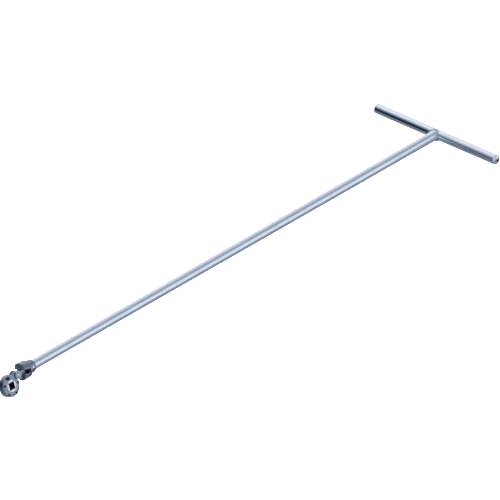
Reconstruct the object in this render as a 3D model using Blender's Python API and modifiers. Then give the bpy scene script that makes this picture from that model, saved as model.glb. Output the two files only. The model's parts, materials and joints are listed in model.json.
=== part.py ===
"""Long T-handle tap wrench with a swivelling round ratchet head, lying on a flat surface.

World frame: +X runs along the shaft towards the head, +Y along the T-bar, +Z up, in metres.
The origin is on the surface under the middle of the object's bounding box.
"""

import math

import bmesh
import bpy

MM = 0.001

# T-handle and shaft
ROD_R = 7.0 * MM
BAR_LENGTH = 210.0 * MM
BAR_BORE_R = 5.0 * MM
PLUG_DOME = 3.0 * MM
PLUG_SPIGOT = 12.0 * MM
VENT_R = 1.8 * MM
SHAFT_REACH = 812.0 * MM  # T-bar axis to the front end of the fork
GAP = 0.3 * MM  # between pieces that touch or are fixed together
PLAY = 0.1 * MM  # round a pin that something turns on
EDGE_ANGLE = math.radians(35.0)  # edges sharper than this are shaded sharp

# Weld where the shaft meets the T-bar
WELD_REACH = 11.5 * MM  # from the T-bar's axis, along the shaft
WELD_FOOT = 3.0 * MM
WELD_THROAT = 2.6 * MM
WELD_LIP = 0.4 * MM
WELD_TOP = 8.2 * MM
WELD_BOTTOM = -6.9 * MM  # dressed flush, so that the T-bar lies flat

# Fork on the end of the shaft
FORK_R = 12.0 * MM
FORK_LENGTH = 12.0 * MM
FORK_CROWN_R = 22.0 * MM
HUB_R = 9.0 * MM
HUB_LENGTH = 11.0 * MM
FORK_SLOT = 6.0 * MM
FORK_SLOT_DEPTH = 9.6 * MM
FORK_EDGE = 1.0 * MM
HUB_TAPER = 3.0 * MM
HUB_TAPER_R = 7.8 * MM
FORK_PIN_R = 2.25 * MM
FORK_PIN_BACK = 4.8 * MM  # fork pin, behind the fork's front end
FORK_PIN_DOME = 0.6 * MM
CROSS_PIN_R = 2.0 * MM
PIN_DOME = 0.5 * MM
PIN_INSET = 0.4 * MM  # a pin's dome starts this far inside a round surface
ROLL = math.radians(20.5)  # the fork pin leans this far from upright about the shaft

# Link between the fork and the head
TONGUE_R = 4.5 * MM
TONGUE_THICK = 5.4 * MM
LINK_REACH = 13.3 * MM  # fork pin to link pin
EYE_R = 5.4 * MM
LINK_WIDTH = 12.6 * MM
LINK_SLOT = 5.2 * MM
LINK_SLOT_BACK = 4.9 * MM
LINK_PIN_R = 1.9 * MM

# Ratchet head: a disc whose axis is parallel to the link pin
DROOP = math.radians(31.0)  # the head hangs this far below the line of the shaft
HEAD_REACH = 17.5 * MM  # link pin to the middle of the disc
HEAD_R = 14.6 * MM
HEAD_BACK = -4.5 * MM
HEAD_RIM = 2.9 * MM
COVER_BACK = 3.2 * MM
COVER_FRONT = 4.6 * MM
COVER_EDGE = 0.5 * MM
LUG_THICK = 4.6 * MM
LUG_R = 4.4 * MM
LUG_RELIEF_R = 5.9 * MM
POCKET_FLOOR = -2.9 * MM
POCKET_R = 9.6 * MM

# Drive gear
TEETH = 24
TIP_R = 9.3 * MM
ROOT_R = 8.4 * MM
TOOTH_HALF = 2.6 * MM
JOURNAL_R = 7.9 * MM
TOOTH_ROOT = 0.64  # widths of a tooth, as shares of the pitch
TOOTH_TIP = 0.24
JOURNAL_ENDS = (-4.8 * MM, 4.9 * MM)
SQUARE = 9.65 * MM
LEDGE = -4.0 * MM  # the square hole ends here, on a ledge round a smaller hole
LEDGE_R = 3.2 * MM
SQUARE_RELIEF_R = 0.6 * MM  # round relief in each corner of the square hole

# Pawl and selector, on a pivot near the disc's rim
PAWL_ANGLE = math.radians(105.0)  # from the head's length, towards its upper edge
PAWL_PIVOT = 11.7 * MM
PAWL_SPAN = math.radians(28.0)
PAWL_TOOTH_AT = math.radians(22.5)
PAWL_TOOTH_HALF = math.radians(3.2)
PAWL_INNER = 10.0 * MM
PAWL_OUTER = 12.9 * MM
PAWL_TIP = 9.75 * MM
PAWL_HALF = 2.4 * MM
PAWL_ROCK = math.radians(6.0)
PAWL_POCKET_OUTER = 13.75 * MM
PAWL_POCKET_SPAN = math.radians(38.0)
LEAF_INNER = 13.2 * MM
LEAF_THICK = 0.25 * MM
LEAF_SPAN = math.radians(10.0)
LEAF_HALF = 1.9 * MM
SELECTOR_R = 1.2 * MM
SELECTOR_FOOT = -3.8 * MM
SELECTOR_FLOOR = -4.0 * MM
LEVER_R = 2.3 * MM
LEVER_REACH = 4.6 * MM
LEVER_BACK = 4.9 * MM
LEVER_FRONT = 6.4 * MM
LEVER_EDGE = 0.5 * MM
ARM_HALF = 0.9 * MM
ARM_ENDS = (5.1 * MM, 6.1 * MM)
LEVER_TURN = math.radians(-45.0)

# Cover screws
SCREW_COUNT = 4
FIRST_SCREW = math.radians(50.0)
LAST_SCREW = math.radians(-150.0)
SCREW_AT = 12.2 * MM
SCREW_R = 0.9 * MM
SCREW_HEAD_R = 1.6 * MM
SCREW_HEAD = 0.8 * MM
SCREW_END = -1.8 * MM
SCREW_SLOT = 0.5 * MM
SLOT_TURN = math.radians(63.0)  # from one screw's slot to the next one's

ROUND = 40
DISC_ROUND = 56
CROWN_ROUND = 96
SMALL_ROUND = 24
FAR = 60.0 * MM  # longer than anything that a cutter goes through


# ---------------------------------------------------------------- scene, materials, helpers


def clear_scene():
    for obj in list(bpy.data.objects):
        bpy.data.objects.remove(obj, do_unlink=True)


def new_collection(name, hidden=False):
    collection = bpy.data.collections.new(name)
    bpy.context.scene.collection.children.link(collection)
    collection.hide_render = hidden
    return collection


def steel(name, colour, roughness):
    material = bpy.data.materials.new(name)
    material.use_nodes = True
    shader = material.node_tree.nodes["Principled BSDF"]
    shader.inputs["Base Color"].default_value = (*colour, 1.0)
    shader.inputs["Metallic"].default_value = 1.0
    shader.inputs["Roughness"].default_value = roughness
    return material


clear_scene()
PARTS = new_collection("tap_wrench")
CUTTERS = new_collection("cutters", hidden=True)
PLATED = steel("bright_plated_steel", (0.72, 0.76, 0.80), 0.18)
DARK = steel("hardened_steel", (0.30, 0.32, 0.35), 0.35)
SPRING = steel("spring_steel", (0.42, 0.44, 0.47), 0.30)


def empty(name, parent=None, location=(0, 0, 0), rotation=(0, 0, 0)):
    obj = bpy.data.objects.new(name, None)
    obj.parent = parent
    obj.location = location
    obj.rotation_euler = rotation
    PARTS.objects.link(obj)
    return obj


def place(mesh, name, parent, location, rotation, material):
    """A part when it has a material, and a cutter or a piece to join when it has none."""
    obj = bpy.data.objects.new(name, mesh)
    obj.parent = parent
    obj.location = location
    obj.rotation_euler = rotation
    if material is None:
        CUTTERS.objects.link(obj)
        obj.hide_render = True
        obj.display_type = "WIRE"
    else:
        PARTS.objects.link(obj)
        mesh.materials.append(material)
        mesh.shade_smooth()
        mesh.set_sharp_from_angle(angle=EDGE_ANGLE)
    return obj


ALONG = {"X": (0, math.pi / 2, 0), "Y": (-math.pi / 2, 0, 0), "Z": (0, 0, 0)}


def cylinder(name, radius, ends, axis, parent, at=(0, 0, 0), material=None, segments=ROUND):
    """A cylinder along one local axis, from ends[0] to ends[1] on it, through the point at."""
    mesh = bpy.data.meshes.new(name)
    shape = bmesh.new()
    length = ends[1] - ends[0]
    bmesh.ops.create_cone(
        shape, cap_ends=True, segments=segments, radius1=radius, radius2=radius, depth=length
    )
    bmesh.ops.translate(shape, verts=shape.verts, vec=(0, 0, (ends[0] + ends[1]) / 2))
    shape.to_mesh(mesh)
    shape.free()
    return place(mesh, name, parent, at, ALONG[axis], material)


def box(name, low, high, parent, at=(0, 0, 0), rotation=(0, 0, 0), material=None):
    mesh = bpy.data.meshes.new(name)
    shape = bmesh.new()
    bmesh.ops.create_cube(shape, size=1.0)
    bmesh.ops.scale(shape, verts=shape.verts, vec=[b - a for a, b in zip(low, high)])
    bmesh.ops.translate(shape, verts=shape.verts, vec=[(a + b) / 2 for a, b in zip(low, high)])
    shape.to_mesh(mesh)
    shape.free()
    return place(mesh, name, parent, at, rotation, material)


def turned(name, profile, axis, parent, at=(0, 0, 0), material=None, segments=ROUND):
    """A Screw round one local axis. The profile is (radius, height), outer side top to bottom."""
    mesh = bpy.data.meshes.new(name)
    points = [(radius, 0, height) for radius, height in profile]
    mesh.from_pydata(points, [(i, i + 1) for i in range(len(points) - 1)], [])
    obj = place(mesh, name, parent, at, ALONG[axis], material)
    screw = obj.modifiers.new("turn", "SCREW")
    screw.axis = "Z"
    screw.steps = segments
    screw.render_steps = segments
    screw.use_merge_vertices = True
    screw.merge_threshold = 0.00001
    return obj


def plate(name, outline, ends, parent, at=(0, 0, 0), material=None):
    """A flat outline of (x, z) points, thickened along local Y between ends."""
    curve = bpy.data.curves.new(name, "CURVE")
    curve.dimensions = "2D"
    curve.fill_mode = "BOTH"
    curve.extrude = (ends[1] - ends[0]) / 2
    spline = curve.splines.new("POLY")
    spline.points.add(len(outline) - 1)
    for point, (x, z) in zip(spline.points, outline):
        point.co = (x, z, 0, 1)
    spline.use_cyclic_u = True
    sketch = bpy.data.objects.new(name + "_sketch", curve)
    CUTTERS.objects.link(sketch)
    graph = bpy.context.evaluated_depsgraph_get()
    mesh = bpy.data.meshes.new_from_object(sketch.evaluated_get(graph))
    bpy.data.objects.remove(sketch, do_unlink=True)
    shape = bmesh.new()
    shape.from_mesh(mesh)
    bmesh.ops.remove_doubles(shape, verts=shape.verts, dist=0.00001)
    bmesh.ops.recalc_face_normals(shape, faces=shape.faces)
    shape.to_mesh(mesh)
    shape.free()
    centre = (at[0], at[1] + (ends[0] + ends[1]) / 2, at[2])
    return place(mesh, name, parent, centre, (math.pi / 2, 0, 0), material)


def combine(obj, other, operation):
    modifier = obj.modifiers.new(other.name, "BOOLEAN")
    modifier.operation = operation
    modifier.solver = "EXACT"
    modifier.object = other


def cut(obj, *cutters):
    for cutter in cutters:
        combine(obj, cutter, "DIFFERENCE")


def join(obj, *others):
    for other in others:
        combine(obj, other, "UNION")


def small_hole(name, radius, axis, parent, at=(0, 0, 0), ends=(-FAR, FAR)):
    return cylinder(name, radius, ends, axis, parent, at, segments=SMALL_ROUND)


def arc(radius, start, end, steps, centre=(0, 0)):
    return [
        (
            centre[0] + radius * math.cos(start + (end - start) * i / steps),
            centre[1] + radius * math.sin(start + (end - start) * i / steps),
        )
        for i in range(steps + 1)
    ]


# ---------------------------------------------------------------- how the wrench lies


def head_in_tool_frame():
    """Middle and axis of the disc, from the T-bar's middle, with the shaft along X."""
    link_pin_x = SHAFT_REACH - FORK_PIN_BACK + LINK_REACH
    forward = HEAD_REACH * math.cos(DROOP)
    down = HEAD_REACH * math.sin(DROOP)
    middle = (link_pin_x + forward, down * math.sin(ROLL), -down * math.cos(ROLL))
    return middle, (0.0, math.cos(ROLL), math.sin(ROLL))


def turn(points, angle):
    """Flat points turned about their origin."""
    c, s = math.cos(angle), math.sin(angle)
    return [(x * c - z * s, x * s + z * c) for x, z in points]


def disc_reach(direction):
    """How far the disc reaches from the T-bar's middle along a direction in the tool frame."""
    middle, axis = head_in_tool_frame()
    tilt = sum(a * b for a, b in zip(axis, direction))
    along = sum(a * b for a, b in zip(middle, direction))
    face = COVER_FRONT if tilt > 0 else HEAD_BACK
    return along + HEAD_R * math.sqrt(1 - tilt * tilt) + face * tilt


def lie_angle():
    """The shaft's slope when the T-bar and the disc's rim both touch the surface."""
    angle = 0.0
    for _ in range(20):
        low = disc_reach((-math.sin(angle), 0.0, -math.cos(angle)))
        angle += (low - ROD_R) / SHAFT_REACH
    return angle


LIE = lie_angle()
FRONT_X = disc_reach((math.cos(LIE), 0.0, -math.sin(LIE)))
TOOL = empty("tool_frame", None, ((ROD_R - FRONT_X) / 2, 0, ROD_R), (0, -LIE, 0))
JOINT = empty("fork_front", TOOL, (SHAFT_REACH, 0, 0), (ROLL, 0, 0))
FORK_AXIS = empty("fork_pin_axis", JOINT, (-FORK_PIN_BACK, 0, 0))
HEAD_AXIS = empty("link_pin_axis", FORK_AXIS, (LINK_REACH, 0, 0), (0, DROOP, 0))
DRIVE_AXIS = empty("drive_axis", HEAD_AXIS, (HEAD_REACH, 0, 0))
PAWL_AT = (PAWL_PIVOT * math.cos(PAWL_ANGLE), 0, PAWL_PIVOT * math.sin(PAWL_ANGLE))
PAWL_AXIS = empty("pawl_axis", DRIVE_AXIS, PAWL_AT, (0, -PAWL_ANGLE, 0))
CROSS_PIN_AT = (-FORK_LENGTH - HUB_LENGTH / 2, 0, 0)


# ---------------------------------------------------------------- handle and shaft


def t_bar():
    half = BAR_LENGTH / 2 - PLUG_DOME - GAP
    bar = cylinder("t_bar", ROD_R, (-half, half), "Y", TOOL, material=PLATED)
    cut(bar, cylinder("t_bar_bore", BAR_BORE_R, (-half - FAR, half + FAR), "Y", TOOL))


def bar_end_plug(name, side):
    """A domed plug with a vent hole, pressed into the T-bar's end at +Y or -Y."""
    shoulder = BAR_LENGTH / 2 - PLUG_DOME
    spigot_r = BAR_BORE_R - GAP
    angles = [math.radians(degrees) for degrees in range(90, -1, -15)]
    profile = [(ROD_R * math.cos(a), shoulder + PLUG_DOME * math.sin(a)) for a in angles]
    profile += [(spigot_r, shoulder), (spigot_r, shoulder - PLUG_SPIGOT)]
    profile.append((0.0, shoulder - PLUG_SPIGOT))
    plug = turned(name, profile, "Y", TOOL, material=PLATED)
    if side < 0:
        plug.rotation_euler = (math.pi / 2, 0, 0)
    ends = sorted((0, side * BAR_LENGTH))
    cut(plug, cylinder(name + "_vent", VENT_R, ends, "Y", TOOL, segments=SMALL_ROUND))


def tee_weld():
    """A hollow-faced fillet round the shaft, flattened above and dressed flush below."""
    inner = ROD_R + GAP
    angles = [math.radians(degrees) for degrees in range(0, 91, 15)]
    profile = [(inner, WELD_REACH)]
    profile += [
        (
            inner + WELD_THROAT - (WELD_THROAT - WELD_LIP) * math.cos(a),
            WELD_REACH - (WELD_REACH - ROD_R) * math.sin(a),
        )
        for a in angles
    ]
    profile += [(inner + WELD_THROAT, WELD_FOOT), (inner, WELD_FOOT), (inner, WELD_REACH)]
    weld = turned("tee_weld", profile, "X", TOOL, material=PLATED)
    cut(weld, cylinder("weld_bar_room", ROD_R + GAP, (-FAR, FAR), "Y", TOOL))
    height = box("weld_height", (-FAR, -FAR, WELD_BOTTOM), (FAR, FAR, WELD_TOP), TOOL)
    combine(weld, height, "INTERSECT")


def shaft():
    end = SHAFT_REACH - FORK_LENGTH - GAP
    rod = cylinder("shaft", ROD_R, (0, end), "X", TOOL, material=PLATED)
    cut(
        rod,
        cylinder("shaft_bar_room", ROD_R + GAP, (-FAR, FAR), "Y", TOOL),
        cylinder("shaft_pin_hole", CROSS_PIN_R + PLAY, (-FAR, FAR), "Y", JOINT, CROSS_PIN_AT),
    )


def shaft_fork():
    back = -FORK_LENGTH - HUB_LENGTH
    profile = [(0.0, 0.0), (FORK_R - FORK_EDGE, 0.0), (FORK_R, -FORK_EDGE)]
    profile += [(FORK_R, FORK_EDGE - FORK_LENGTH), (FORK_R - FORK_EDGE, -FORK_LENGTH)]
    profile += [(HUB_R, -FORK_LENGTH), (HUB_R, back + HUB_TAPER), (HUB_TAPER_R, back)]
    profile.append((0.0, back))
    fork = turned("shaft_fork", profile, "X", JOINT, material=PLATED)
    crown_at = (-FORK_CROWN_R, 0, 0)
    crown = cylinder(
        "fork_crown", FORK_CROWN_R, (-FAR, FAR), "Z", JOINT, crown_at, segments=CROWN_ROUND
    )
    combine(fork, crown, "INTERSECT")
    slot = FORK_SLOT / 2
    pin_hole = FORK_PIN_R + PLAY
    cross_hole = CROSS_PIN_R + PLAY
    cut(
        fork,
        box("fork_slot", (-FORK_SLOT_DEPTH, -FAR, -slot), (FAR, FAR, slot), JOINT),
        cylinder("fork_socket", ROD_R + PLAY, (-FAR, -FORK_LENGTH), "X", JOINT),
        small_hole("fork_pin_hole", pin_hole, "Z", FORK_AXIS),
        small_hole("cross_pin_hole", cross_hole, "Y", JOINT, CROSS_PIN_AT),
    )


def rivet(name, radius, half, dome, axis, parent, at=(0, 0, 0)):
    """A headless pin with a low dome at both ends."""
    angles = [math.radians(degrees) for degrees in (90, 53, 0)]
    top = [(radius * math.cos(a), half + dome * math.sin(a)) for a in angles]
    profile = top + [(r, -h) for r, h in reversed(top)]
    turned(name, profile, axis, parent, at, PLATED, SMALL_ROUND)


def swivel_link():
    half = TONGUE_THICK / 2
    link = cylinder("swivel_link", TONGUE_R, (-half, half), "Z", FORK_AXIS, material=PLATED)
    slot = LINK_SLOT / 2
    body = box("link_body", (0, -TONGUE_R, -half), (LINK_REACH, TONGUE_R, half), FORK_AXIS)
    eye_at = (LINK_REACH, 0, 0)
    wide = LINK_WIDTH / 2
    join(link, body, cylinder("link_eye", EYE_R, (-wide, wide), "Y", FORK_AXIS, eye_at))
    slot_low = (LINK_REACH - LINK_SLOT_BACK, -slot, -FAR)
    cut(
        link,
        box("link_slot", slot_low, (LINK_REACH + FAR, slot, FAR), FORK_AXIS),
        small_hole("link_rear_hole", FORK_PIN_R + PLAY, "Z", FORK_AXIS),
        small_hole("link_front_hole", LINK_PIN_R + PLAY, "Y", FORK_AXIS, eye_at),
    )


# ---------------------------------------------------------------- ratchet head


def lug_relief(side):
    """Room for one cheek of the link, cut into a face of the disc."""
    ends = sorted((side * LUG_THICK / 2, side * FAR))
    name = "relief_back" if side < 0 else "relief_front"
    return cylinder(name, LUG_RELIEF_R, ends, "Y", HEAD_AXIS)


def sector(inner, outer, span, steps=12):
    return arc(outer, -span, span, steps) + arc(inner, span, -span, steps)


def ratchet_housing(reliefs):
    """A cup for the gear and the pawl, with a lug that fits between the link's cheeks."""
    body = (HEAD_BACK, HEAD_RIM)
    housing = disc("ratchet_housing", HEAD_R, body, material=PLATED)
    cut(housing, *reliefs)
    half = LUG_THICK / 2
    lug = cylinder("lug_round", LUG_R, (-half, half), "Y", HEAD_AXIS)
    web_end = HEAD_REACH - POCKET_R
    web = box("lug_web", (0, -half, -LUG_R), (web_end, half, LUG_R), HEAD_AXIS)
    join(housing, lug, web)
    pawl_room = sector(POCKET_R - 1.0 * MM, PAWL_POCKET_OUTER, PAWL_POCKET_SPAN)
    foot_ends = (SELECTOR_FLOOR, 0)
    cut(
        housing,
        disc("gear_pocket", POCKET_R, (POCKET_FLOOR, FAR)),
        disc("gear_back_hole", JOURNAL_R + PLAY, (-FAR, 0)),
        plate("pawl_pocket", turn(pawl_room, PAWL_ANGLE), (POCKET_FLOOR, FAR), DRIVE_AXIS),
        small_hole("lug_hole", LINK_PIN_R + PLAY, "Y", HEAD_AXIS),
        small_hole("selector_foot_hole", SELECTOR_R + PLAY, "Y", PAWL_AXIS, ends=foot_ends),
        *screw_holes("housing_screw_hole", (SCREW_END - GAP, FAR)),
    )


def disc(name, radius, ends, material=None):
    return cylinder(
        name, radius, ends, "Y", DRIVE_AXIS, material=material, segments=DISC_ROUND
    )


def screw_places():
    return [(x, 0, z) for x, z in arc(SCREW_AT, FIRST_SCREW, LAST_SCREW, SCREW_COUNT - 1)]


def screw_holes(name, ends):
    return [
        small_hole(f"{name}_{i}", SCREW_R + PLAY, "Y", DRIVE_AXIS, at, ends)
        for i, at in enumerate(screw_places(), 1)
    ]


def cover_plate(front_relief):
    profile = [(0.0, COVER_FRONT), (HEAD_R - COVER_EDGE, COVER_FRONT)]
    profile += [(HEAD_R, COVER_FRONT - COVER_EDGE), (HEAD_R, COVER_BACK), (0.0, COVER_BACK)]
    cover = turned("cover_plate", profile, "Y", DRIVE_AXIS, material=PLATED, segments=DISC_ROUND)
    cut(
        cover,
        front_relief,
        disc("cover_gear_hole", JOURNAL_R + PLAY, (-FAR, FAR)),
        small_hole("cover_selector_hole", SELECTOR_R + PLAY, "Y", PAWL_AXIS),
        *screw_holes("cover_screw_hole", (-FAR, FAR)),
    )


def cover_screws():
    seat = COVER_FRONT + PLAY
    top = seat + SCREW_HEAD
    edge = SCREW_HEAD / 2
    slot = SCREW_SLOT / 2
    for i, at in enumerate(screw_places(), 1):
        profile = [(0.0, top), (SCREW_HEAD_R - edge, top), (SCREW_HEAD_R, top - edge)]
        profile += [(SCREW_HEAD_R, seat), (SCREW_R, seat), (SCREW_R, SCREW_END), (0.0, SCREW_END)]
        screw = turned(f"cover_screw_{i}", profile, "Y", DRIVE_AXIS, at, DARK, SMALL_ROUND)
        low = (-FAR, top - edge, -slot)
        high = (FAR, FAR, slot)
        cut(screw, box(f"screw_slot_{i}", low, high, DRIVE_AXIS, at, (0, i * SLOT_TURN, 0)))


def drive_gear():
    pitch = 2 * math.pi / TEETH
    root, tip = pitch * TOOTH_ROOT / 2, pitch * TOOTH_TIP / 2
    outline = []
    for tooth in range(TEETH):
        middle = PAWL_ANGLE + tooth * pitch
        for radius, offset in ((ROOT_R, -root), (TIP_R, -tip), (TIP_R, tip), (ROOT_R, root)):
            angle = middle + offset
            outline.append((radius * math.cos(angle), radius * math.sin(angle)))
    ends = (-TOOTH_HALF, TOOTH_HALF)
    gear = plate("drive_gear", outline, ends, DRIVE_AXIS, material=PLATED)
    join(gear, disc("gear_journal", JOURNAL_R, JOURNAL_ENDS))
    half = SQUARE / 2
    square = (0, -DROOP, 0)
    cut(
        gear,
        box("square_hole", (-half, LEDGE, -half), (half, FAR, half), DRIVE_AXIS, rotation=square),
        small_hole("ledge_hole", LEDGE_R, "Y", DRIVE_AXIS),
    )
    for i, (x, z) in enumerate(turn([(-half, -half), (-half, half), (half, -half), (half, half)], DROOP)):
        name = f"square_relief_{i}"
        cut(gear, small_hole(name, SQUARE_RELIEF_R, "Y", DRIVE_AXIS, (x, 0, z), (LEDGE, FAR)))


def pawl_outline():
    """A rocker seen along the pivot, with the gear's middle at x = -PAWL_PIVOT."""
    before, after = PAWL_TOOTH_AT - PAWL_TOOTH_HALF, PAWL_TOOTH_AT + PAWL_TOOTH_HALF
    outline = arc(PAWL_OUTER, -PAWL_SPAN, PAWL_SPAN, 12) + arc(PAWL_INNER, PAWL_SPAN, after, 1)
    outline += arc(PAWL_TIP, PAWL_TOOTH_AT, PAWL_TOOTH_AT, 1)[:1]
    outline += arc(PAWL_INNER, before, -before, 4)
    outline += arc(PAWL_TIP, -PAWL_TOOTH_AT, -PAWL_TOOTH_AT, 1)[:1]
    outline += arc(PAWL_INNER, -after, -PAWL_SPAN, 1)
    return [(x - PAWL_PIVOT, z) for x, z in outline]


def pawl():
    """Rocked about its pivot, so that one of its two teeth is in the gear."""
    ends = (-PAWL_HALF, PAWL_HALF)
    rocker = plate("pawl", turn(pawl_outline(), PAWL_ROCK), ends, PAWL_AXIS, material=DARK)
    cut(rocker, small_hole("pawl_hole", SELECTOR_R + PLAY, "Y", PAWL_AXIS))


def pawl_spring():
    """A leaf bent round behind the pawl, with the disc's middle at x = -PAWL_PIVOT."""
    outline = sector(LEAF_INNER, LEAF_INNER + LEAF_THICK, LEAF_SPAN, 6)
    leaf = [(x - PAWL_PIVOT, z) for x, z in outline]
    plate("pawl_spring", leaf, (-LEAF_HALF, LEAF_HALF), PAWL_AXIS, material=SPRING)


def selector_lever():
    profile = [(0.0, LEVER_FRONT), (LEVER_R - LEVER_EDGE, LEVER_FRONT)]
    profile += [(LEVER_R, LEVER_FRONT - LEVER_EDGE), (LEVER_R, LEVER_BACK)]
    profile += [(SELECTOR_R, LEVER_BACK), (SELECTOR_R, SELECTOR_FOOT), (0.0, SELECTOR_FOOT)]
    lever = turned("selector_lever", profile, "Y", PAWL_AXIS, material=DARK, segments=SMALL_ROUND)
    low = (0, ARM_ENDS[0], -ARM_HALF)
    high = (LEVER_REACH, ARM_ENDS[1], ARM_HALF)
    pointing = (0, math.pi / 2 + LEVER_TURN, 0)
    join(lever, box("selector_arm", low, high, PAWL_AXIS, rotation=pointing))


t_bar()
bar_end_plug("bar_end_plug_left", -1)
bar_end_plug("bar_end_plug_right", 1)
tee_weld()
shaft()
shaft_fork()
rivet("cross_pin", CROSS_PIN_R, HUB_R - PIN_INSET, PIN_DOME, "Y", JOINT, CROSS_PIN_AT)
rivet("fork_pin", FORK_PIN_R, FORK_R - PIN_INSET, FORK_PIN_DOME, "Z", FORK_AXIS)
swivel_link()
rivet("link_pin", LINK_PIN_R, LINK_WIDTH / 2, PIN_DOME, "Y", HEAD_AXIS)
RELIEFS = [lug_relief(-1), lug_relief(1)]
ratchet_housing(RELIEFS)
cover_plate(RELIEFS[1])
cover_screws()
drive_gear()
pawl()
pawl_spring()
selector_lever()
bpy.context.view_layer.update()
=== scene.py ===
"""Looks of the long T-handle tap wrench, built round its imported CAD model.

Lengths are metres in the CAD model's frame: +X along the shaft, +Y along the T-bar, +Z up.
Each piece is shaped in its own local frame, and its mesh is then moved into the model's frame.
"""

import json
import math

import bmesh
import bpy
from mathutils import Matrix, Vector

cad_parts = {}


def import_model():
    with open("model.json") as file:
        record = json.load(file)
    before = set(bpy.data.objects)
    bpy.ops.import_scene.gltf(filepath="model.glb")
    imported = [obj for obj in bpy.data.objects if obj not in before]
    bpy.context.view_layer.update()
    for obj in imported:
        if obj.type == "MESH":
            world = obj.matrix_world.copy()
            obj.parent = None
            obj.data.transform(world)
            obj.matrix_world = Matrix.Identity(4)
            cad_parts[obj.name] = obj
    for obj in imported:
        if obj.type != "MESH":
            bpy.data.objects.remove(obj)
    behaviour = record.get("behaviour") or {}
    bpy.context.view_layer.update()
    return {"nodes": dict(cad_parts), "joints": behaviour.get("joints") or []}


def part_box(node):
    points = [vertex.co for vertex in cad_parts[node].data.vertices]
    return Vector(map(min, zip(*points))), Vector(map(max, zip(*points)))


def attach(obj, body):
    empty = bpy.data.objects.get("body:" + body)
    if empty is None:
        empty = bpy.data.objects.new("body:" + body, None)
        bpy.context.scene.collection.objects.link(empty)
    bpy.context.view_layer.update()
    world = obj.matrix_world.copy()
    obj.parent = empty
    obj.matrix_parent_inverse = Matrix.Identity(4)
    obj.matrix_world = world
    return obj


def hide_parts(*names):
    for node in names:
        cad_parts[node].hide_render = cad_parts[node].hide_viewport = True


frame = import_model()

MM = 0.001

# Camera: where it looks from, and how far the view's middle is from the model's origin
CAMERA_AZIMUTH = math.radians(131.832)
CAMERA_ELEVATION = math.radians(31.041)
CAMERA_ROLL = math.radians(-0.939)
CAMERA_DISTANCE = 20.0
CAMERA_LENS = 1117.5
SENSOR = 36.0
AIM_RIGHT = 34.7 * MM
AIM_UP = 21.2 * MM

# Sizes, which are the CAD model's wherever it has them. A turned piece is finer here, so it is
# SKIN smaller, and the fork twice that, which keeps them inside the CAD model's box
SKIN = 0.015 * MM
SEAM = 0.3 * MM
PLAY = 0.1 * MM

# Rods and end plugs. The vent's rim lies at two shares of the dome's height
ROD_R = 7.0 * MM - SKIN
BORE_R = 5.0 * MM
BAR_END = 105.0 * MM
PLUG_DOME = 3.0 * MM
DOME_ANGLES = [math.radians(degrees) for degrees in range(78, -1, -6)]
PLUG_SPIGOT = 12.0 * MM
VENT_R = 1.8 * MM
VENT_RIM = 0.35 * MM
VENT_RIM_LOW = 0.93
VENT_RIM_HIGH = 0.955
VENT_DOME_R = VENT_R + 0.5 * MM
# Within this radius the plug is painted near-black, for the shade inside the vent
VENT_SHADE_R = VENT_R + 0.2 * MM

# Weld: angles go round the shaft, from +Y. The bead is WELD_WIDER times as wide as it is high,
# tips out along the shaft by WELD_LEAN, and turns over the top in an eased corner, WELD_SADDLE.
# Below WELD_FLOOR it is dressed flat
WELD_ENDS = (math.radians(-66.0), math.radians(246.0))
WELD_STEPS = 220
WELD_SIDES = 20
WELD_SIDE_R = 2.3 * MM
WELD_TOP_R = 1.15 * MM
WELD_FLOOR = -6.9 * MM
WELD_WIDER = 1.25
WELD_LEAN = 0.8
WELD_SADDLE = 0.01
WELD_END = 0.2
RIPPLE, RIPPLES = 0.05, 19
WOBBLE, WOBBLES = 0.03, 7

# Fork, whose pin lies FORK_PIN_BACK behind its front
FORK_R = 12.0 * MM - 2 * SKIN
FORK_LENGTH = 12.0 * MM
FORK_CROWN_R = 22.0 * MM
FORK_PIN_BACK = 4.8 * MM
FORK_SLOT = 6.0 * MM
FORK_SLOT_DEPTH = 9.6 * MM
FORK_ROUND = 1.1 * MM
HUB_R = 9.0 * MM
HUB_LENGTH = 11.0 * MM
HUB_END_R = 7.8 * MM
HUB_FILLET = 0.8 * MM
HUB_TAPER = 2.6 * MM
FORK_PIN_R = 2.25 * MM
CROSS_PIN_R = 2.0 * MM
CROSS_PIN_BACK = FORK_LENGTH + HUB_LENGTH / 2 - FORK_PIN_BACK

# A pin's end: (share of its radius, share of its dome) from its middle outwards
PIN_END = ((0.0, 0.8), (0.3, 0.86), (0.5, 1.0), (0.75, 0.8), (0.93, 0.35))
PIN_EDGE = 0.2 * MM
PIN_DOME = 0.48 * MM
FORK_PIN_DOME = 0.55 * MM
PIN_SUNK = 0.4 * MM

# Link
TONGUE_R = 4.5 * MM - SKIN
TONGUE_THICK = 5.4 * MM
EYE_R = 5.4 * MM - SKIN
LINK_WIDTH = 12.6 * MM
LINK_SLOT = 5.2 * MM
LINK_SLOT_BACK = 4.9 * MM
LINK_PIN_R = 1.9 * MM

# Head. The reliefs for the link's cheeks start LUG_STEP outside the lug's sides, because faces
# that lie flush are cut badly
HEAD_R = 14.6 * MM - SKIN
HEAD_BACK = -4.5 * MM
HEAD_RIM = 2.9 * MM
COVER_BACK = 3.2 * MM
COVER_FRONT = 4.6 * MM
LUG_THICK = 4.6 * MM
LUG_R = 4.4 * MM
LUG_RELIEF_R = 5.9 * MM
LUG_STEP = 0.05 * MM
POCKET_FLOOR = -2.9 * MM
POCKET_R = 9.6 * MM
PAWL_POCKET_R = 13.75 * MM
PAWL_POCKET_SPAN = math.radians(38.0)
PAWL_POCKET_STEPS = 24

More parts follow.
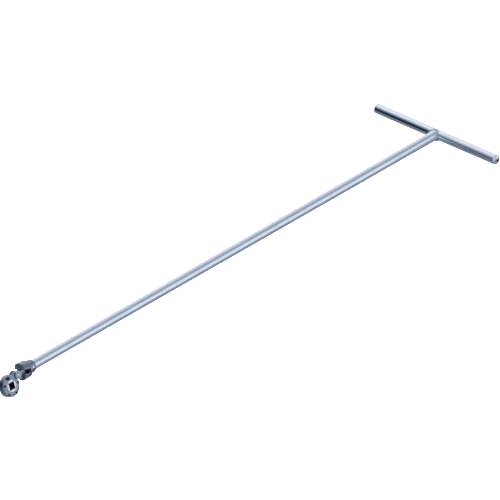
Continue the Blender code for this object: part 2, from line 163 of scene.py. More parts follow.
# Drive gear
TEETH = 24
TIP_R = 9.3 * MM - SKIN
ROOT_R = 8.4 * MM
TOOTH_HALF = 2.6 * MM
TOOTH_ROOT = 0.64
TOOTH_TIP = 0.24
JOURNAL_R = 7.9 * MM - SKIN
JOURNAL_ENDS = (-4.8 * MM, 4.9 * MM)
JOURNAL_RIM = 0.5 * MM
SQUARE = 9.65 * MM
LEDGE = -4.0 * MM
LEDGE_R = 3.2 * MM
SQUARE_RELIEF_R = 0.6 * MM

# Cover screws, at even angles, in degrees, round the head's axis from its far side
SCREWS = 4
FIRST_SCREW = 50.0
LAST_SCREW = -150.0
SCREW_AT = 12.2 * MM
SCREW_R = 0.9 * MM
SCREW_HEAD_R = 1.6 * MM
SCREW_HEAD = 0.8 * MM
SCREW_END = -1.8 * MM
SCREW_SLOT = 0.5 * MM
SLOT_TURN = math.radians(63.0)

# Selector
SELECTOR_R = 1.2 * MM
SELECTOR_FOOT = -3.8 * MM
LEVER_R = 2.3 * MM
LEVER_REACH = 4.6 * MM
LEVER_BACK = 4.9 * MM
LEVER_FRONT = 6.4 * MM
ARM_HALF = 0.9 * MM
ARM_BACK = LEVER_BACK + 0.2 * MM
ARM_TOP = 6.1 * MM
ARM_ANGLE = math.radians(45.0)
ARM_STEPS = 12

# How far the edges are broken
BAR_EDGE = 0.25 * MM
SHAFT_EDGE = 0.3 * MM
FORK_EDGE = 0.35 * MM
LINK_EDGE = 0.3 * MM
HEAD_EDGE = 0.15 * MM
GEAR_EDGE = 0.12 * MM
JOURNAL_EDGE = 0.3 * MM
SCREW_EDGE = 0.04 * MM
LEVER_EDGE = 0.15 * MM

# Fineness
FINE = 128
FINEST = 256
SMALL = 48
FAR = 60.0 * MM
TINY = 1e-7
CORNER_STEPS = 4
MERGE = 0.005 * MM
FLAT = math.radians(0.5)
BEVEL_FROM = math.radians(35.0)
SHARP = math.radians(40.0)


# ---------------------------------------------------------------- local frames


def joint(name):
    return next(j for j in frame["joints"] if j["name"] == name)


def frame_at(origin, along, axis):
    """A local frame: X along, Y on the axis, Z square to both."""
    x, y = Vector(along).normalized(), Vector(axis).normalized()
    matrix = Matrix((x, y, x.cross(y))).transposed().to_4x4()
    matrix.translation = Vector(origin)
    return matrix


def local_frames():
    low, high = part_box("t_bar")
    tee = (low + high) / 2
    pitch_axis = Vector(joint("head_swing")["axis"])
    along = pitch_axis.cross(Vector(joint("fork_swing")["axis"]))
    link_pin = Vector(joint("head_swing")["pos_m"])
    drive = Vector(joint("gear_spin")["pos_m"])
    pivot = Vector(joint("selector_turn")["pos_m"])
    fork_pin = Vector(joint("fork_swing")["pos_m"])
    return {
        "tool": frame_at(tee, along, (0, 1, 0)),
        "fork": frame_at(fork_pin, along, pitch_axis),
        "link": frame_at(link_pin, along, pitch_axis),
        "head": frame_at(link_pin, drive - link_pin, pitch_axis),
        "drive": frame_at(drive, drive - link_pin, pitch_axis),
        "square": frame_at(drive, along, pitch_axis),
        "pawl": frame_at(pivot, pivot - drive, pitch_axis),
    }


FRAMES = local_frames()
LINK_REACH = (FRAMES["link"].translation - FRAMES["fork"].translation).length
HEAD_REACH = (FRAMES["drive"].translation - FRAMES["head"].translation).length
SHAFT_REACH = (FRAMES["fork"].translation - FRAMES["tool"].translation).length + FORK_PIN_BACK

# Turns a shape's own Z to a local frame's X, Y or Z
ALONG = {
    "X": Matrix.Rotation(math.pi / 2, 4, "Y"),
    "Y": Matrix.Rotation(-math.pi / 2, 4, "X"),
    "Z": Matrix.Identity(4),
}


def from_axis(point, where):
    """How far a point in the model's frame is from a local frame's Y axis."""
    return (point - FRAMES[where].translation).cross(FRAMES[where].col[1].to_3d()).length


def pawl_angle():
    """The pawl's direction from the gear's axis, as an angle in the drive's frame."""
    toward = FRAMES["drive"].to_3x3().transposed() @ FRAMES["pawl"].to_3x3().col[0]
    return math.atan2(toward.z, toward.x)


# ---------------------------------------------------------------- shapes


def rounded(corners):
    """A profile through (radius, height, rounding) corners, with each corner rounded off."""
    points = []
    for i, (x, y, size) in enumerate(corners):
        here = Vector((x, y))
        if size == 0:
            points.append(here)
            continue
        start = here + (Vector(corners[i - 1][:2]) - here).normalized() * size
        end = here + (Vector(corners[(i + 1) % len(corners)][:2]) - here).normalized() * size
        for step in range(CORNER_STEPS + 1):
            t = step / CORNER_STEPS
            points.append(start.lerp(here, t).lerp(here.lerp(end, t), t))
    return [tuple(p) for p in points]


def spun(profile, segments=FINE, ring=False):
    """A (radius, height) profile turned about Z. A ring's profile closes on itself."""
    shape = bmesh.new()
    rows = []
    for radius, height in profile:
        angles = [0.0] if radius < TINY else [math.tau * i / segments for i in range(segments)]
        points = [(radius * math.cos(a), radius * math.sin(a), height) for a in angles]
        rows.append([shape.verts.new(p) for p in points])
    pairs = list(zip(rows, rows[1:]))
    if ring:
        pairs.append((rows[-1], rows[0]))
    for upper, lower in pairs:
        for i in range(segments):
            j = i + 1
            places = ((upper, i), (upper, j), (lower, j), (lower, i))
            corners = [row[k % len(row)] for row, k in places]
            # A row on the axis is one point, which would come twice
            shape.faces.new(list(dict.fromkeys(corners)))
    bmesh.ops.recalc_face_normals(shape, faces=shape.faces)
    return shape


def rod(radius, ends, segments=FINE):
    low, high = ends
    return spun([(0, high), (radius, high), (radius, low), (0, low)], segments)


def block(low, high):
    shape = bmesh.new()
    bmesh.ops.create_cube(shape, size=1.0)
    bmesh.ops.scale(shape, verts=shape.verts, vec=[b - a for a, b in zip(low, high)])
    bmesh.ops.translate(shape, verts=shape.verts, vec=[(a + b) / 2 for a, b in zip(low, high)])
    return shape


def prism(outline, ends):
    """A flat outline of (x, z) points, from ends[0] to ends[1] along Y."""
    shape = bmesh.new()
    rows = [[shape.verts.new((x, y, z)) for x, z in outline] for y in ends]
    for row in rows:
        shape.faces.new(row)
    for i in range(len(outline)):
        j = (i + 1) % len(outline)
        shape.faces.new((rows[0][i], rows[0][j], rows[1][j], rows[1][i]))
    bmesh.ops.recalc_face_normals(shape, faces=shape.faces)
    return shape


def arc(radius, start, end, steps):
    angles = [start + (end - start) * i / steps for i in range(steps + 1)]
    return [(radius * math.cos(a), radius * math.sin(a)) for a in angles]


def turn(points, angle):
    c, s = math.cos(angle), math.sin(angle)
    return [(x * c - z * s, x * s + z * c) for x, z in points]


def put(shape, name, where, axis="Z", at=(0, 0, 0)):
    """The shape as an object in a local frame, its own Z turned to the frame's axis."""
    shape.transform(Matrix.Translation(at) @ ALONG[axis])
    mesh = bpy.data.meshes.new(name)
    shape.to_mesh(mesh)
    shape.free()
    obj = bpy.data.objects.new(name, mesh)
    obj.matrix_world = FRAMES[where]
    bpy.context.scene.collection.objects.link(obj)
    return obj


def hole(radius, ends, where, axis, at=(0, 0, 0), segments=SMALL):
    """A round cutter."""
    return put(rod(radius, ends, segments), "hole", where, axis, at)


def settle(obj):
    """Applies the modifiers."""
    graph = bpy.context.evaluated_depsgraph_get()
    mesh = bpy.data.meshes.new_from_object(obj.evaluated_get(graph))
    obj.modifiers.clear()
    obj.data = mesh


def combine(obj, operation, *others):
    for other in others:
        modifier = obj.modifiers.new(other.name, "BOOLEAN")
        modifier.operation = operation
        modifier.solver = "EXACT"
        modifier.object = other
    bpy.context.view_layer.update()
    settle(obj)
    for other in others:
        bpy.data.objects.remove(other)


def soften(obj, width, segments=3):
    """Breaks the edges with a small round bevel."""
    shape = bmesh.new()
    shape.from_mesh(obj.data)
    bmesh.ops.remove_doubles(shape, verts=shape.verts, dist=MERGE)
    bmesh.ops.dissolve_limit(shape, angle_limit=FLAT, verts=shape.verts, edges=shape.edges)
    shape.to_mesh(obj.data)
    shape.free()
    modifier = obj.modifiers.new("edges", "BEVEL")
    modifier.width = width
    modifier.segments = segments
    modifier.limit_method = "ANGLE"
    modifier.angle_limit = BEVEL_FROM
    bpy.context.view_layer.update()
    settle(obj)


def finish_piece(obj, body, material, node):
    """Into the model's frame, with its shading and material, parented to the body it moves with, and with
    the CAD piece it stands for hidden.
    """
    obj.data.transform(obj.matrix_world)
    obj.matrix_world = Matrix.Identity(4)
    obj.data.shade_smooth()
    obj.data.set_sharp_from_angle(angle=SHARP)
    level = obj.modifiers.new("flat_faces", "WEIGHTED_NORMAL")
    level.keep_sharp = True
    settle(obj)
    obj.data.materials.clear()
    obj.data.materials.append(MATERIALS[material])
    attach(obj, body)
    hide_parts(node)


def paint_hole_shade(obj, inside):
    """Painted shade: near-black metal on the faces that inside(centre, normal) picks out, the walls of
    holes, for the shade inside them.
    """
    obj.data.materials.append(MATERIALS["hole_shade"])
    for face in obj.data.polygons:
        if inside(face.center, face.normal):
            face.material_index = 1


# ---------------------------------------------------------------- materials

# Colours of each metal: where it is light, where it is dull, and along its worn edges
PLATE = ((0.84, 0.89, 0.95, 1), (0.66, 0.73, 0.82, 1), (0.92, 0.95, 1.0, 1))
SATIN = ((0.36, 0.415, 0.50, 1), (0.19, 0.23, 0.30, 1), (0.6, 0.66, 0.74, 1))
WELD = ((0.5, 0.55, 0.62, 1), (0.26, 0.3, 0.36, 1), (0.6, 0.66, 0.74, 1))
HARDENED = ((0.028, 0.028, 0.036, 1), (0.009, 0.009, 0.013, 1), (0.22, 0.23, 0.26, 1))
# Near-black metal painted on the walls of holes, for the shade inside them
HOLE_SHADE_COLOURS = ((0.03, 0.03, 0.04, 1), (0.01, 0.01, 0.014, 1), (0.1, 0.1, 0.12, 1))
SPRING = ((0.34, 0.36, 0.42, 1), (0.2, 0.21, 0.27, 1), (0.6, 0.62, 0.66, 1))
# The near-black that metal is darkened towards in its corners and gaps: dirt, and painted shade where
# parts shadow each other
DIRT_AND_PAINTED_SHADE = (0.012, 0.012, 0.018, 1)
FLOOR_COLOURS = ((0.9, 0.9, 0.9, 1), (0.93, 0.93, 0.93, 1))

# Marks: noise scales for each metre of surface, and how wide, rough and deep a scratch is
CLOUDS = 90.0
PATCHES = 28.0
FLOOR_PATCHES = 6.0
SCRATCH_STRETCH = (260, 1900, 420)
SCRATCH_WIDTH = 0.006
SCRATCH_ROUGHNESS = 0.08
SCRATCH_DEPTH = 0.6

# How far the dirt and painted shade reach from a corner, and wear from an edge
DIRT_AND_SHADE_REACH = 2.2 * MM
WEAR_REACH = 0.5 * MM
RAYS = 6


class Net:
    """Short names for making and joining one material's nodes."""

    def __init__(self, name):
        self.material = bpy.data.materials.new(name)
        self.material.use_nodes = True
        self.nodes = self.material.node_tree.nodes
        self.links = self.material.node_tree.links
        self.shader = self.nodes["Principled BSDF"]

    def add(self, kind, values=(), **settings):
        node = self.nodes.new(kind)
        for key, value in settings.items():
            setattr(node, key, value)
        for key, value in dict(values).items():
            self.set(node.inputs[key], value)
        return node

    def set(self, socket, value):
        if isinstance(value, bpy.types.NodeSocket):
            self.links.new(value, socket)
        else:
            socket.default_value = value

    def noise(self, coordinates, scale, detail=3.0, stretch=None):
        if stretch:
            mapping = self.add("ShaderNodeMapping", {"Vector": coordinates, "Scale": stretch})
            coordinates = mapping.outputs["Vector"]
        values = {"Vector": coordinates, "Scale": scale, "Detail": detail}
        return self.add("ShaderNodeTexNoise", values).outputs["Fac"]

    def range(self, value, low, high, to_low, to_high):
        values = {"Value": value, "From Min": low, "From Max": high}
        values.update({"To Min": to_low, "To Max": to_high})
        return self.add("ShaderNodeMapRange", values).outputs["Result"]

    def math(self, operation, a, b):
        node = self.add("ShaderNodeMath", operation=operation)
        self.set(node.inputs[0], a)
        self.set(node.inputs[1], b)
        return node.outputs["Value"]

    def mix(self, factor, a, b):
        """A mix of two colours, which are this node's sockets 6 and 7 going in and 2 coming out."""
        node = self.add("ShaderNodeMix", data_type="RGBA")
        self.set(node.inputs["Factor"], factor)
        self.set(node.inputs[6], a)
        self.set(node.inputs[7], b)
        return node.outputs[2]

    def openness(self, reach, inside=False):
        """How open the surface is within reach, or how much metal is behind it."""
        settings = {"samples": RAYS, "inside": inside}
        return self.add("ShaderNodeAmbientOcclusion", {"Distance": reach}, **settings).outputs["AO"]


def scratches(net, place):
    """Thin crossing hairlines, 1 on a scratch and 0 beside it."""
    lines = net.noise(place, 1.0, 1.0, stretch=SCRATCH_STRETCH)
    from_middle = net.math("ABSOLUTE", net.math("SUBTRACT", lines, 0.5), 0.0)
    return net.range(from_middle, 0.0, SCRATCH_WIDTH, 1.0, 0.0)


def metal(name, colours, roughness, grain, grain_depth, dull=None):
    """Metal with a fine grain, handling marks, a few scratches, dirt and painted shade darkening its
    corners and the gaps between parts, and bright edges.

    grain stretches the texture: large along an axis where the marks are close together.
    dull is how much rougher the metal is towards +Y.
    """
    light, dark, edge = colours
    net = Net(name)
    place = net.add("ShaderNodeTexCoord").outputs["Object"]
    cloud = net.noise(place, CLOUDS, 4.0)
    patch = net.noise(place, PATCHES, 2.0)
    lines = net.noise(place, 1.0, 2.0, stretch=grain)
    marks = scratches(net, place)

    cloudy = net.range(cloud, 0.3, 0.7, 0.0, 0.45)
    lined = net.range(lines, 0.3, 0.7, 0.0, 0.35)
    colour = net.mix(net.math("ADD", cloudy, lined), light, dark)
    # Painted shade: where other surfaces are close, the colour darkens towards near-black, for dirt and
    # for the shade in corners and between parts
    dirt_and_shade = net.range(net.openness(DIRT_AND_SHADE_REACH), 0.15, 0.7, 0.96, 0.0)
    colour = net.mix(dirt_and_shade, colour, DIRT_AND_PAINTED_SHADE)
    rubbed = net.range(net.openness(WEAR_REACH, inside=True), 0.5, 0.92, 0.9, 0.0)
    handled = net.range(patch, 0.3, 0.6, 0.35, 1.0)
    colour = net.mix(net.math("MULTIPLY", rubbed, handled), colour, edge)
    net.set(net.shader.inputs["Base Color"], colour)
    net.shader.inputs["Metallic"].default_value = 1.0

    patchy = net.range(patch, 0.35, 0.65, *roughness)
    rough = net.math("ADD", patchy, net.range(lines, 0.3, 0.7, -0.02, 0.03))
    rough = net.math("ADD", rough, net.math("MULTIPLY", marks, SCRATCH_ROUGHNESS))
    if dull:
        across = net.add("ShaderNodeSeparateXYZ", {"Vector": place}).outputs["Y"]
        rough = net.math("ADD", rough, net.range(across, -ROD_R, ROD_R, 0.0, dull))
    net.set(net.shader.inputs["Roughness"], rough)

    height = net.math("SUBTRACT", lines, net.math("MULTIPLY", marks, SCRATCH_DEPTH))
    values = {"Height": height, "Strength": 0.5, "Distance": grain_depth}
    bump = net.add("ShaderNodeBump", values)
    net.set(net.shader.inputs["Normal"], bump.outputs["Normal"])
    return net.material


def make_materials():
    """Each metal's name, colours, roughness from and to, grain and depth of grain."""
    return {
        "rod_x": metal("plated_rod_along_x", PLATE, (0.07, 0.12), (2600, 70, 70), 0.0015 * MM),
        "rod_y": metal("plated_rod_along_y", PLATE, (0.06, 0.10), (70, 2600, 70), 0.0015 * MM, 0.22),
        "forged": metal("plated_forging", PLATE, (0.14, 0.22), (700, 700, 700), 0.004 * MM),
        "satin": metal("satin_forging", SATIN, (0.22, 0.34), (900, 900, 900), 0.005 * MM),
        "weld": metal("plated_weld", WELD, (0.26, 0.4), (900, 900, 900), 0.012 * MM),
        "dark": metal("hardened_steel", HARDENED, (0.28, 0.42), (900, 2200, 900), 0.004 * MM),
        # Painted shade for the walls of holes
        "hole_shade": metal("painted_hole_shade", HOLE_SHADE_COLOURS, (0.35, 0.5), (900, 900, 900), 0.004 * MM),
        "spring": metal("spring_steel", SPRING, (0.22, 0.32), (900, 60, 900), 0.003 * MM),
    }


MATERIALS = make_materials()


# ---------------------------------------------------------------- handle and shaft


def t_bar():
    half, edge = BAR_END - PLUG_DOME - SEAM, BAR_EDGE
    ring = [(ROD_R, half, edge), (ROD_R, -half, edge), (BORE_R, -half, edge), (BORE_R, half, edge)]
    bar = put(spun(rounded(ring), ring=True), "t_bar_tube", "tool", "Y")
    finish_piece(bar, "handle", "rod_y", "t_bar")


def end_plug(name, node, side):
    """A domed plug with a vent hole in its middle, whose rim is eased."""
    shoulder = BAR_END - PLUG_DOME
    dome = [(ROD_R * math.cos(a), shoulder + PLUG_DOME * math.sin(a), 0) for a in DOME_ANGLES]
    spigot = BORE_R - SEAM
    end = shoulder - PLUG_SPIGOT
    ring = [
        (VENT_R, shoulder + PLUG_DOME * VENT_RIM_LOW, 0.15 * MM),
        (VENT_R + VENT_RIM, shoulder + PLUG_DOME * VENT_RIM_HIGH, 0),
    ]
    ring += [point for point in dome if point[0] > VENT_DOME_R]
    ring += [(ROD_R, shoulder - TINY, 0), (spigot, shoulder, 0)]
    ring += [(spigot, end, 0.5 * MM), (VENT_R, end, 0)]
    shape = spun(rounded(ring), ring=True)
    if side < 0:
        shape.transform(Matrix.Rotation(math.pi, 4, "X"))
    plug = put(shape, name, "tool", "Y")
    finish_piece(plug, "handle", "forged", node)
    # The vent hole's walls are painted near-black, for the shade inside it
    paint_hole_shade(plug, lambda centre, normal: from_axis(centre, "tool") < VENT_SHADE_R)


def weld_ring(a, share):
    """One ring of the weld's bead, at angle a of the curve where the two rods meet.

    share is how much of its full radius it has.
    """
    c, s = math.cos(a), math.sin(a)
    corner = ROD_R * Vector((math.sqrt(c ** 2 + WELD_SADDLE), c, s))
    ahead = Vector((-s * math.copysign(1, c), -s, c)).normalized()
    outward = Vector((WELD_LEAN * abs(c), c, s))
    outward = (outward - ahead * outward.dot(ahead)).normalized()
    beside = ahead.cross(outward)
    ripple = 1 + RIPPLE * abs(math.sin(a * RIPPLES)) + WOBBLE * math.sin(a * WOBBLES + 1)
    radius = (WELD_SIDE_R - (WELD_SIDE_R - WELD_TOP_R) * abs(s) ** 3) * ripple * share
    points = []
    for k in range(WELD_SIDES):
        b = math.tau * k / WELD_SIDES
        point = corner + outward * radius * math.cos(b) + beside * radius * WELD_WIDER * math.sin(b)
        point.z = max(point.z, WELD_FLOOR)
        points.append(point)
    return points


def tee_weld():
    """A run of weld round the corner between the rods, with ripples, dressed flat below."""
    start, end = WELD_ENDS
    shape = bmesh.new()
    rows = []
    for i in range(WELD_STEPS + 1):
        share = WELD_END if i in (0, WELD_STEPS) else 1.0
        ring = weld_ring(start + (end - start) * i / WELD_STEPS, share)
        rows.append([shape.verts.new(point) for point in ring])
    for one, two in zip(rows, rows[1:]):
        for k in range(WELD_SIDES):
            m = (k + 1) % WELD_SIDES
            shape.faces.new((one[k], one[m], two[m], two[k]))
    shape.faces.new(rows[0])
    shape.faces.new(list(reversed(rows[-1])))
    bmesh.ops.recalc_face_normals(shape, faces=shape.faces)
    weld = put(shape, "tee_weld_bead", "tool")
    finish_piece(weld, "handle", "weld", "tee_weld")


def shaft():
    end = SHAFT_REACH - FORK_LENGTH - SEAM
    profile = [(0, end, 0), (ROD_R, end, SHAFT_EDGE), (ROD_R, 0, 0), (0, 0, 0)]
    bar = put(spun(rounded(profile)), "shaft_rod", "tool", "X")
    combine(bar, "DIFFERENCE", hole(ROD_R + PLAY, (-FAR, FAR), "tool", "Y", segments=FINE))
    finish_piece(bar, "handle", "rod_x", "shaft")


def shaft_fork():
    """Turned from bar: a collar with a crowned front, and a hub that the shaft is pinned in."""
    front = FORK_PIN_BACK
    back = front - FORK_LENGTH
    hub_back = back - HUB_LENGTH
    profile = [
        (0, front, 0),
        (FORK_R, front, 0),
        (FORK_R, back, FORK_ROUND),
        (HUB_R, back, HUB_FILLET),
        (HUB_R, hub_back, HUB_TAPER),
        (HUB_END_R - 0.3 * MM, hub_back, 0.25 * MM),
        (0, hub_back, 0),
    ]
    fork = put(spun(rounded(profile)), "fork_forging", "fork", "X")
    crown = rod(FORK_CROWN_R, (-FAR, FAR), FINEST)
    combine(fork, "INTERSECT", put(crown, "crown", "fork", "Z", (front - FORK_CROWN_R, 0, 0)))
    half = FORK_SLOT / 2
    slot = block((front - FORK_SLOT_DEPTH, -FAR, -half), (FAR, FAR, half))
    cross_pin = (-CROSS_PIN_BACK, 0, 0)
    cutters = [
        put(slot, "slot", "fork"),
        hole(ROD_R + PLAY, (-FAR, back), "fork", "X", segments=FINE),
        hole(FORK_PIN_R + PLAY / 2, (-FAR, FAR), "fork", "Z"),
        hole(CROSS_PIN_R + PLAY / 2, (-FAR, FAR), "fork", "Y", cross_pin),
    ]
    combine(fork, "DIFFERENCE", *cutters)
    soften(fork, FORK_EDGE)
    finish_piece(fork, "handle", "satin", "shaft_fork")


def pin(name, body, node, radius, half, dome, axis, where, at=(0, 0, 0)):
    """A pin with softly domed, slightly dished ends."""
    head = [(radius * across, half + dome * up) for across, up in PIN_END]
    head.append((radius, half - PIN_EDGE))
    profile = head + [(r, -h) for r, h in reversed(head)]
    piece = put(spun(profile, SMALL), name, where, axis, at)
    finish_piece(piece, body, "forged", node)


def handle_pins():
    radius, half = CROSS_PIN_R - PLAY / 2, HUB_R - PIN_SUNK
    at = (-CROSS_PIN_BACK, 0, 0)
    pin("cross_pin_steel", "handle", "cross_pin", radius, half, PIN_DOME, "Y", "fork", at)
    radius, half = FORK_PIN_R - PLAY / 2, FORK_R - PIN_SUNK
    pin("fork_pin_steel", "handle", "fork_pin", radius, half, FORK_PIN_DOME, "Z", "fork")


# ---------------------------------------------------------------- link


def swivel_link():
    half = TONGUE_THICK / 2
    wide = LINK_WIDTH / 2
    front = (LINK_REACH, 0, 0)
    link = put(rod(TONGUE_R, (-half, half)), "link_forging", "fork")
    eye = put(rod(EYE_R, (-wide, wide)), "eye", "fork", "Y", front)
    body = put(block((0, -TONGUE_R, -half), (LINK_REACH, TONGUE_R, half)), "body", "fork")
    combine(link, "UNION", body, eye)
    slot = LINK_SLOT / 2
    cutters = [
        put(block((LINK_REACH - LINK_SLOT_BACK, -slot, -FAR), (FAR, slot, FAR)), "slot", "fork"),
        hole(FORK_PIN_R + PLAY, (-FAR, FAR), "fork", "Z"),
        hole(LINK_PIN_R + PLAY / 2, (-FAR, FAR), "fork", "Y", front),
    ]
    combine(link, "DIFFERENCE", *cutters)
    soften(link, LINK_EDGE)
    finish_piece(link, "link", "satin", "swivel_link")
    radius = LINK_PIN_R - PLAY / 2
    pin("link_pin_steel", "link", "link_pin", radius, wide, PIN_DOME, "Y", "link")


# ---------------------------------------------------------------- ratchet head


def relief(side):
    """Room for one cheek of the link."""
    ends = sorted((side * (LUG_THICK / 2 + LUG_STEP), side * FAR))
    return hole(LUG_RELIEF_R, ends, "head", "Y", segments=FINE)


def screw_places():
    step = (LAST_SCREW - FIRST_SCREW) / (SCREWS - 1)
    angles = [math.radians(FIRST_SCREW + step * i) for i in range(SCREWS)]
    return [(SCREW_AT * math.cos(a), 0, SCREW_AT * math.sin(a)) for a in angles]


def ratchet_housing():
    profile = [
        (0, HEAD_RIM, 0),
        (HEAD_R, HEAD_RIM, 0.25 * MM),
        (HEAD_R, HEAD_BACK, 0.8 * MM),
        (0, HEAD_BACK, 0),
    ]
    housing = put(spun(rounded(profile), FINEST), "housing_forging", "drive", "Y")
    combine(housing, "DIFFERENCE", relief(-1), relief(1))
    half = LUG_THICK / 2
    lug = put(rod(LUG_R, (-half, half)), "lug", "head", "Y")
    web = put(block((0, -half, -LUG_R), (HEAD_REACH - POCKET_R, half, LUG_R)), "web", "head")
    combine(housing, "UNION", lug, web)
    span, steps = PAWL_POCKET_SPAN, PAWL_POCKET_STEPS
    room = arc(PAWL_POCKET_R, -span, span, steps) + arc(POCKET_R - MM, span, -span, steps)
    room = prism(turn(room, pawl_angle()), (POCKET_FLOOR, FAR))
    cutters = [
        hole(POCKET_R, (POCKET_FLOOR, FAR), "drive", "Y", segments=FINE),
        hole(JOURNAL_R + PLAY, (-FAR, 0), "drive", "Y", segments=FINE),
        put(room, "pawl_room", "drive"),
        hole(LINK_PIN_R + PLAY, (-FAR, FAR), "head", "Y"),
        hole(SELECTOR_R + PLAY, (SELECTOR_FOOT - PLAY, 0), "pawl", "Y"),
    ]
    for at in screw_places():
        cutters.append(hole(SCREW_R + PLAY, (SCREW_END - SEAM, FAR), "drive", "Y", at))
    combine(housing, "DIFFERENCE", *cutters)
    soften(housing, HEAD_EDGE, 2)
    finish_piece(housing, "head", "satin", "ratchet_housing")


def cover_plate():
    profile = [
        (0, COVER_FRONT, 0),
        (HEAD_R, COVER_FRONT, 0.55 * MM),
        (HEAD_R, COVER_BACK, 0.15 * MM),
        (0, COVER_BACK, 0),
    ]
    cover = put(spun(rounded(profile), FINEST), "cover_disc", "drive", "Y")
    cutters = [
        relief(1),
        hole(JOURNAL_R + PLAY, (-FAR, FAR), "drive", "Y", segments=FINE),
        hole(SELECTOR_R + PLAY, (0, FAR), "pawl", "Y"),
    ]
    for at in screw_places():
        cutters.append(hole(SCREW_R + PLAY, (-FAR, FAR), "drive", "Y", at))
    combine(cover, "DIFFERENCE", *cutters)
    soften(cover, HEAD_EDGE, 2)
    finish_piece(cover, "head", "satin", "cover_plate")


def cover_screws():
    seat = COVER_FRONT + PLAY / 2
    top = COVER_FRONT + PLAY + SCREW_HEAD - SKIN
    half = SCREW_SLOT / 2
    profile = [
        (0, top, 0),
        (SCREW_HEAD_R, top, 0.45 * MM),
        (SCREW_HEAD_R, seat, 0.08 * MM),
        (SCREW_R, seat, 0),
        (SCREW_R, SCREW_END, 0.2 * MM),
        (0, SCREW_END, 0),
    ]
    for i, at in enumerate(screw_places(), 1):
        screw = put(spun(rounded(profile), SMALL), f"screw_{i}", "drive", "Y", at)
        slot = block((-FAR, top - SCREW_HEAD / 2, -half), (FAR, FAR, half))
        slot.transform(Matrix.Rotation(i * SLOT_TURN, 4, "Y"))
        combine(screw, "DIFFERENCE", put(slot, "slot", "drive", "Z", at))
        soften(screw, SCREW_EDGE, 2)
        finish_piece(screw, "head", "dark", f"cover_screw_{i}")


def drive_gear():
    pitch = math.tau / TEETH
    root, tip = pitch * TOOTH_ROOT / 2, pitch * TOOTH_TIP / 2
    outline = []
    for tooth in range(TEETH):
        for radius, offset in ((ROOT_R, -root), (TIP_R, -tip), (TIP_R, tip), (ROOT_R, root)):
            angle = pawl_angle() + tooth * pitch + offset
            outline.append((radius * math.cos(angle), radius * math.sin(angle)))
    gear = put(prism(outline, (-TOOTH_HALF, TOOTH_HALF)), "gear_steel", "drive")
    (low, high), edge = JOURNAL_ENDS, JOURNAL_EDGE
    profile = [(0, high, 0), (JOURNAL_R, high, edge), (JOURNAL_R, low, edge), (0, low, 0)]
    combine(gear, "UNION", put(spun(rounded(profile)), "journal", "drive", "Y"))
    half = SQUARE / 2
    cutters = [
        put(block((-half, LEDGE, -half), (half, FAR, half)), "square", "square"),
        hole(LEDGE_R, (-FAR, FAR), "drive", "Y"),
    ]
    for x in (-half, half):
        for z in (-half, half):
            cutters.append(hole(SQUARE_RELIEF_R, (LEDGE, FAR), "square", "Y", (x, 0, z)))
    combine(gear, "DIFFERENCE", *cutters)
    soften(gear, GEAR_EDGE, 2)
    finish_piece(gear, "gear", "forged", "drive_gear")
    axis = FRAMES["drive"].col[1].to_3d()
    # The square drive hole's walls are painted near-black, for the shade inside it
    paint_hole_shade(gear, lambda centre, normal: (
        abs(normal.dot(axis)) < 0.5 and from_axis(centre, "drive") < JOURNAL_R - JOURNAL_RIM
    ))


def selector_lever():
    profile = [
        (0, LEVER_FRONT, 0),
        (LEVER_R, LEVER_FRONT, 0.6 * MM),
        (LEVER_R, LEVER_BACK, 0.1 * MM),
        (SELECTOR_R, LEVER_BACK, 0),
        (SELECTOR_R, SELECTOR_FOOT, 0.2 * MM),
        (0, SELECTOR_FOOT, 0),
    ]
    lever = put(spun(rounded(profile), SMALL), "selector_steel", "pawl", "Y")
    outline = arc(ARM_HALF, -math.pi / 2, math.pi / 2, ARM_STEPS)
    outline = [(x + LEVER_REACH - ARM_HALF, z) for x, z in outline] + [(0, ARM_HALF), (0, -ARM_HALF)]
    arm = prism(turn(outline, -ARM_ANGLE), (ARM_BACK, ARM_TOP))
    combine(lever, "UNION", put(arm, "arm", "pawl"))
    soften(lever, LEVER_EDGE, 2)
    finish_piece(lever, "selector", "dark", "selector_lever")


def inner_pieces():
    """The pawl and its spring keep their CAD shapes."""
    for node, material in (("pawl", "dark"), ("pawl_spring", "spring")):
        obj = frame["nodes"][node]
        obj.data.materials.clear()
        obj.data.materials.append(MATERIALS[material])


# ---------------------------------------------------------------- studio

# The world's brightness, as stops along a level line across the studio
SKY_ACROSS = (0.667, -0.745, 0.0)
SKY_UPPER = [(-1.0, 0.92), (-0.93, 0.9), (-0.8, 0.52), (-0.62, 0.44), (-0.5, 0.5)]
SKY_UPPER += [(-0.36, 0.68), (-0.15, 0.82), (0.1, 0.95), (0.45, 0.97), (0.63, 0.66)]
SKY_UPPER += [(0.8, 0.36), (0.9, 0.07), (0.94, 0.03), (1.0, 0.03)]
SKY_LOWER = [(-1.0, 0.36), (-0.86, 0.36), (-0.6, 0.38), (-0.3, 0.42), (0.0, 0.5)]
SKY_LOWER += [(0.3, 0.42), (0.56, 0.36), (0.82, 0.26), (1.0, 0.22)]

# The heights between which the lower half turns into the upper, and how blue the greys are
SKY_BLEND = (-0.38, -0.06)
SKY_BLUE = 0.2

FLOOR_HALF = 40.0
FLOOR_DROP = 0.02 * MM
LAMP_AT = (0.3, 0.0, 3.0)
LAMP_SIZE = 3.0
LAMP_POWER = 420.0


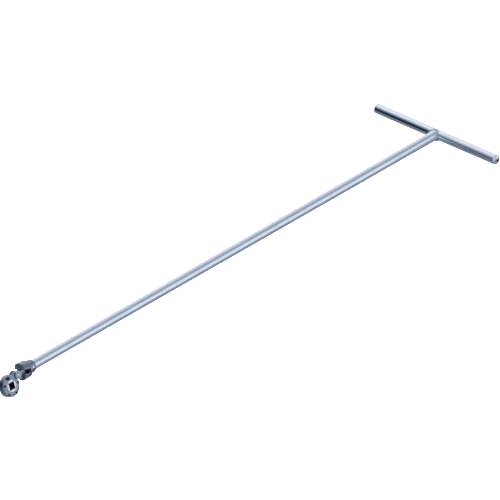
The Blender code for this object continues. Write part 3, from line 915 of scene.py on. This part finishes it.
def camera():
    azimuth, elevation = CAMERA_AZIMUTH, CAMERA_ELEVATION
    ahead = Vector((
        -math.sin(azimuth) * math.cos(elevation),
        math.cos(azimuth) * math.cos(elevation),
        -math.sin(elevation),
    ))
    level = Vector((math.cos(azimuth), math.sin(azimuth), 0))
    right = Matrix.Rotation(-CAMERA_ROLL, 3, ahead) @ level
    up = right.cross(ahead)
    data = bpy.data.cameras.new("camera")
    data.lens = CAMERA_LENS
    data.sensor_width = SENSOR
    data.clip_start = 0.1
    data.clip_end = 100.0
    obj = bpy.data.objects.new("camera", data)
    matrix = Matrix((right, up, -ahead)).transposed().to_4x4()
    matrix.translation = right * AIM_RIGHT + up * AIM_UP - ahead * CAMERA_DISTANCE
    obj.matrix_world = matrix
    bpy.context.scene.collection.objects.link(obj)
    bpy.context.scene.camera = obj


def floor():
    """A pale floor that the plating doesn't reflect, because the world stands for it there."""
    mesh = bpy.data.meshes.new("floor")
    shape = bmesh.new()
    bmesh.ops.create_grid(shape, x_segments=8, y_segments=8, size=FLOOR_HALF)
    shape.to_mesh(mesh)
    shape.free()
    obj = bpy.data.objects.new("floor", mesh)
    bpy.context.scene.collection.objects.link(obj)
    net = Net("pale_floor")
    place = net.add("ShaderNodeTexCoord").outputs["Object"]
    colour = net.mix(net.noise(place, FLOOR_PATCHES), *FLOOR_COLOURS)
    net.set(net.shader.inputs["Base Color"], colour)
    net.shader.inputs["Roughness"].default_value = 0.9
    net.shader.inputs["Specular IOR Level"].default_value = 0.1
    mesh.materials.append(net.material)
    obj.location = (0, 0, -FLOOR_DROP)
    obj.visible_glossy = False


def ramp(tree, value, stops):
    """A grey scale, slightly blue, over stops of (value from -1 to 1, brightness)."""
    share = tree.nodes.new("ShaderNodeMapRange")
    share.inputs["From Min"].default_value = -1.0
    tree.links.new(value, share.inputs["Value"])
    scale = tree.nodes.new("ShaderNodeValToRGB")
    tree.links.new(share.outputs["Result"], scale.inputs["Fac"])
    elements = scale.color_ramp.elements
    while len(elements) < len(stops):
        elements.new(0.5)
    for element, (at, brightness) in zip(elements, stops):
        blue = SKY_BLUE * (1 - brightness)
        element.position = (at + 1) / 2
        element.color = (brightness * (1 - 2 * blue), brightness * (1 - blue), brightness * (1 + blue), 1)
    return scale.outputs["Color"]


def world():
    """A studio seen in the plating: bright overhead, dark to one side, and grey below."""
    made = bpy.data.worlds.new("studio")
    bpy.context.scene.world = made
    made.use_nodes = True
    tree = made.node_tree
    place = tree.nodes.new("ShaderNodeTexCoord").outputs["Generated"]
    side = tree.nodes.new("ShaderNodeVectorMath")
    side.operation = "DOT_PRODUCT"
    side.inputs[1].default_value = SKY_ACROSS
    tree.links.new(place, side.inputs[0])
    upper = ramp(tree, side.outputs["Value"], SKY_UPPER)
    lower = ramp(tree, side.outputs["Value"], SKY_LOWER)
    apart = tree.nodes.new("ShaderNodeSeparateXYZ")
    tree.links.new(place, apart.inputs["Vector"])
    height = tree.nodes.new("ShaderNodeMapRange")
    height.interpolation_type = "SMOOTHSTEP"
    height.inputs["From Min"].default_value = SKY_BLEND[0]
    height.inputs["From Max"].default_value = SKY_BLEND[1]
    tree.links.new(apart.outputs["Z"], height.inputs["Value"])
    both = tree.nodes.new("ShaderNodeMix")
    both.data_type = "RGBA"
    tree.links.new(height.outputs["Result"], both.inputs["Factor"])
    tree.links.new(lower, both.inputs[6])
    tree.links.new(upper, both.inputs[7])
    tree.links.new(both.outputs[2], tree.nodes["Background"].inputs["Color"])


def lamp():
    """A soft light overhead that casts no shadow on the floor and isn't seen in the plating."""
    data = bpy.data.lights.new("overhead", "AREA")
    data.shape = "DISK"
    data.size = LAMP_SIZE
    data.energy = LAMP_POWER
    data.use_shadow = False
    obj = bpy.data.objects.new("overhead", data)
    obj.location = LAMP_AT
    obj.rotation_euler = (-Vector(LAMP_AT)).to_track_quat("-Z", "Y").to_euler()
    obj.visible_glossy = False
    obj.visible_camera = False
    bpy.context.scene.collection.objects.link(obj)


camera()
t_bar()
end_plug("plug_left", "bar_end_plug_left", -1)
end_plug("plug_right", "bar_end_plug_right", 1)
tee_weld()
shaft()
shaft_fork()
handle_pins()
swivel_link()
ratchet_housing()
cover_plate()
cover_screws()
drive_gear()
selector_lever()
inner_pieces()
floor()
world()
lamp()
bpy.context.scene.view_settings.view_transform = "Standard"
